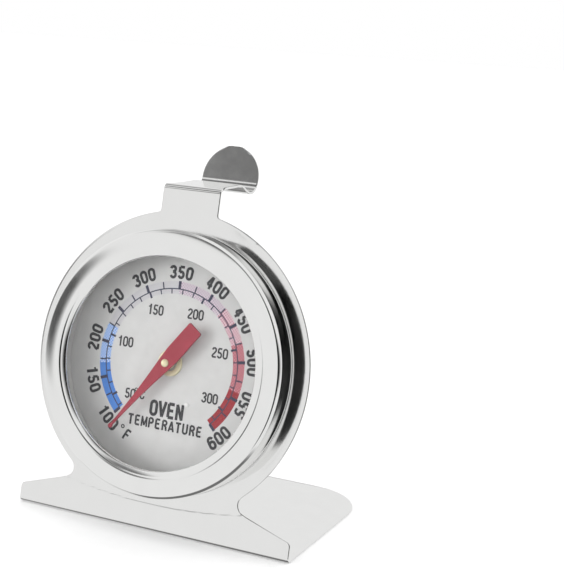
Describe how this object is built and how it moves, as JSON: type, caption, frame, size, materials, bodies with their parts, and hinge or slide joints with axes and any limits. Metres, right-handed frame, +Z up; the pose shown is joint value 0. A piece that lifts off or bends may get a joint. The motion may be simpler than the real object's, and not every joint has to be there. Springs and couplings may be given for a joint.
{
  "type": "oven thermometer",
  "caption": "Round bimetal dial thermometer in a folded steel stand with a foot to stand on and a rack hook to hang it from.",
  "frame": {"origin": "middle of the part's footprint, on the surface that it stands on", "axes": "+X to the right as the dial is read, +Y from the dial towards the back, +Z up"},
  "size_m": [0.071, 0.0532, 0.0866],
  "materials": {
    "mirror_steel": "mirror-bright stainless sheet",
    "case_steel": "satin stainless",
    "wall_steel": "tinned, pale and matt",
    "clear_glass": "clear polished",
    "printed_dial": "silver-grey, printed",
    "cream_brass": "pale, plated",
    "red_paint": "satin red",
    "bimetal": "rolled strip"
  },
  "bodies": {
    "stand": {"stand_bracket": "mirror_steel", "bezel_ring": "mirror_steel", "window_lens": "clear_glass", "spacer_ring": "wall_steel", "dial_plate": "printed_dial", "rear_case": "case_steel", "bearing_bush": "cream_brass", "bush_washer": "case_steel", "thrust_washer": "case_steel", "bimetal_coil": "bimetal", "coil_anchor": "case_steel", "anchor_rivet": "wall_steel", "coil_rivet": "cream_brass"},
    "pointer": {"pointer_arbor": "cream_brass", "pointer": "red_paint"}
  },
  "joints": [
    {"name": "pointer_sweep", "type": "hinge", "parent": "stand", "child": "pointer", "pos_m": [0, -0.01536, 0.03857], "axis": [0, 0.9839, -0.1788], "range_deg": [-10, 280], "deforming": ["bimetal_coil"]}
  ]
}
